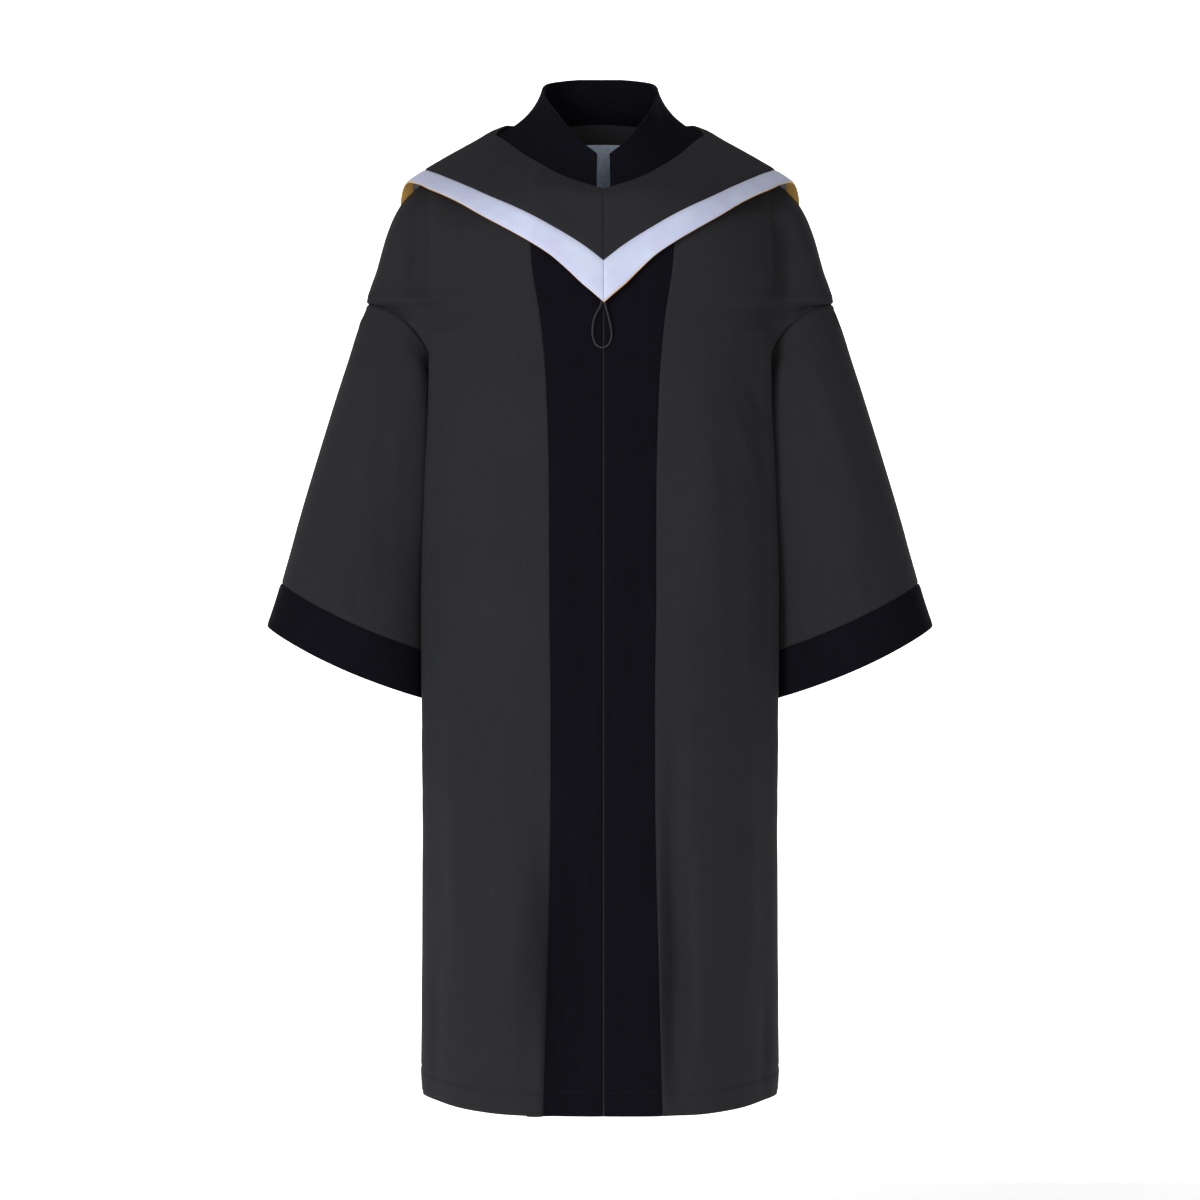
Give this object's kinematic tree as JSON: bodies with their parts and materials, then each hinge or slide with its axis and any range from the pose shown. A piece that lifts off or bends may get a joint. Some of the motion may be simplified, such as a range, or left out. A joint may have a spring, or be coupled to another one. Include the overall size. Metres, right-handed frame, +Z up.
{
  "type": "graduation gown",
  "caption": "Full-length graduation gown with wide bell sleeves, velvet front bands, cuffs and standing collar, and a V-shaped hood with a satin border, filled out as when worn.",
  "frame": {"origin": "inside the neck, level with the tops of the shoulders, where the wearer's neck and shoulders hold the gown up", "axes": "+Z up, the front faces -Y, and the wearer's left is at +X"},
  "size_m": [0.8018, 0.3494, 1.2235],
  "materials": {
    "gown_cloth": "matt fine twill",
    "velvet": "short pile velvet with a soft sheen",
    "satin": "cloudy pale lavender satin",
    "gold_satin": "gold satin",
    "label": "woven, blue-grey, bare",
    "zip": "dark grey tape, coil and slider",
    "cord": "thin round dark grey cord"
  },
  "bodies": {
    "root": {"front_left": "gown_cloth", "front_right": "gown_cloth", "back": "gown_cloth", "sleeve_left": "gown_cloth", "sleeve_right": "gown_cloth", "hood_left": "gown_cloth", "hood_right": "gown_cloth", "band_left": "velvet", "band_right": "velvet", "cuff_left": "velvet", "cuff_right": "velvet", "collar": "velvet", "hood_band_left": "satin", "hood_band_right": "satin", "hood_lining_left": "gold_satin", "hood_lining_right": "gold_satin", "label": "label", "zip_tape": "zip", "zip_slider": "zip", "hood_loop": "cord"}
  },
  "joints": []
}
